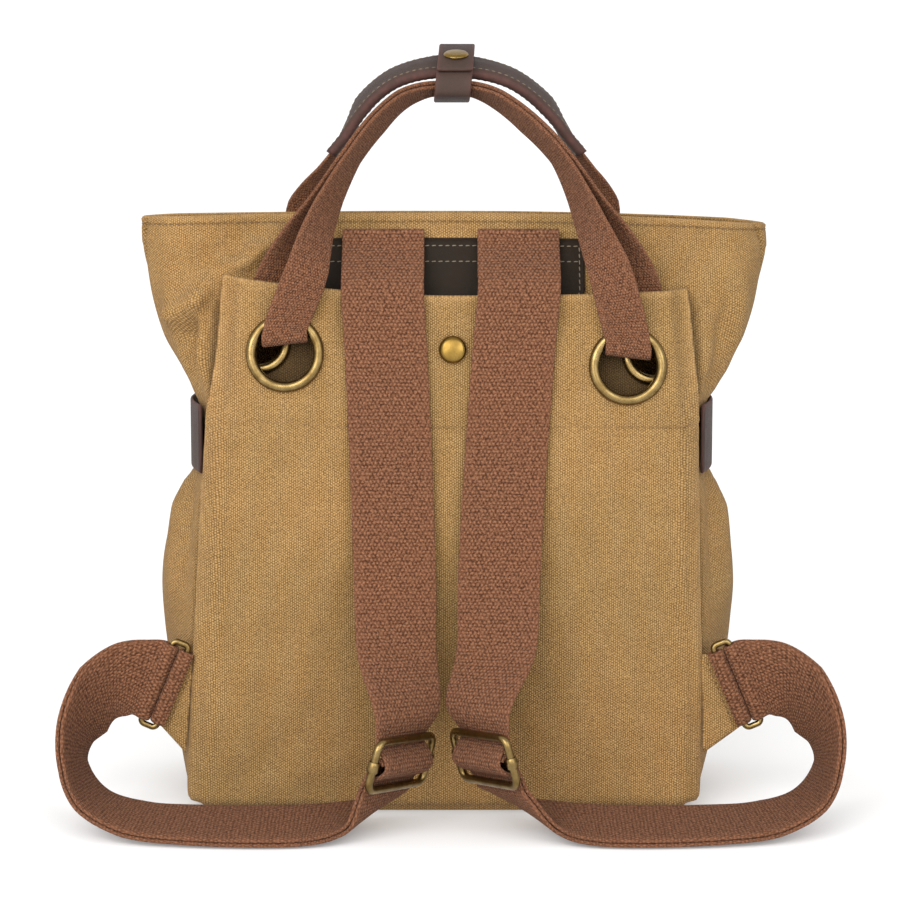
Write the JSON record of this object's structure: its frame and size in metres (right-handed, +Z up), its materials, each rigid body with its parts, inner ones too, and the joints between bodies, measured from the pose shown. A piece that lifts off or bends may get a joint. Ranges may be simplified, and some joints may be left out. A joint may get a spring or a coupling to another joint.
{
  "type": "convertible tote backpack",
  "caption": "Canvas bag with webbing shoulder straps, carrying handles through brass grommets, leather trim and a pocket panel, standing open on its base.",
  "frame": {"origin": "on the base's underside, on the floor, below the middle of the bag at half its height; the bag leans, so the base's own middle is 4 mm to the left", "axes": "+X to the right as seen from the wearer's side, +Y away from the wearer's side, +Z up; the pocket panel and the shoulder straps face -Y"},
  "size_m": [0.4284, 0.2006, 0.4224],
  "materials": {
    "canvas": "tan cotton canvas, plain weave, matt",
    "webbing": "reddish brown heavy cotton webbing, matt",
    "leather_dark": "very dark brown leather, fine grain, low sheen",
    "leather_brown": "brown leather, fine grain, low sheen",
    "brass": "antique brass, worn and slightly dulled"
  },
  "bodies": {
    "root": {"body_shell": "canvas", "back_panel": "canvas", "yoke_patch": "leather_dark", "panel_stud": "brass", "handle_near": "webbing", "handle_far": "webbing", "handle_grip": "leather_brown", "handle_keeper": "leather_brown", "keeper_rivet": "brass", "panel_grommet_left": "brass", "wall_grommet_left": "brass", "shoulder_strap_left": "webbing", "slider_frame_left": "brass", "slider_bar_left": "brass", "ring_left": "brass", "tab_sleeve_left": "webbing", "ring_tab_left": "canvas", "side_strap_left": "leather_brown", "panel_grommet_right": "brass", "wall_grommet_right": "brass", "shoulder_strap_right": "webbing", "slider_frame_right": "brass", "slider_bar_right": "brass", "ring_right": "brass", "tab_sleeve_right": "webbing", "ring_tab_right": "canvas", "side_strap_right": "leather_brown"}
  },
  "joints": []
}
